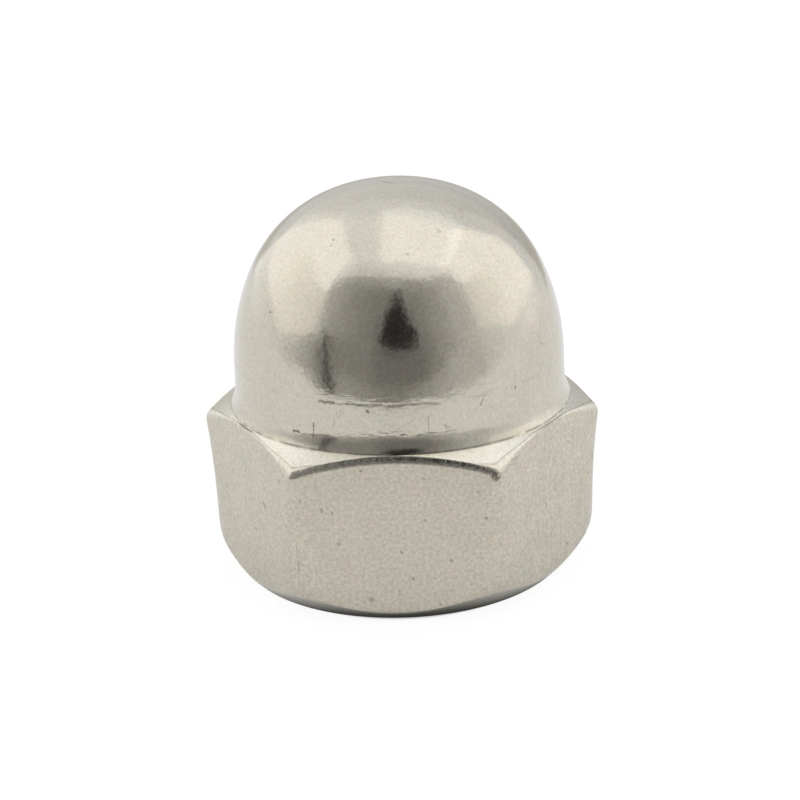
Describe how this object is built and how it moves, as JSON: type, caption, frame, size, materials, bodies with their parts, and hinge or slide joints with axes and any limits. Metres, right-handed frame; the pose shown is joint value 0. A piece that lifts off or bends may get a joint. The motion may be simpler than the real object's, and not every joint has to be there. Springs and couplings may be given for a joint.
{
  "type": "cap nut",
  "caption": "Domed cap nut: a hexagonal base with chamfered faces under a short neck and a hollow rounded dome that covers the end of a bolt.",
  "frame": {"origin": "middle of the flat seat, on the nut's axis", "axes": "+Z along the axis from the seat to the crown of the dome; -Y is square to one flat of the hexagon"},
  "size_m": [0.015, 0.013, 0.0148],
  "materials": {
    "nut_steel": "turned and tumbled bare stainless steel, semi-bright on the dome and finely mottled on the flats"
  },
  "bodies": {
    "root": {"cap_nut": "nut_steel"}
  },
  "joints": []
}
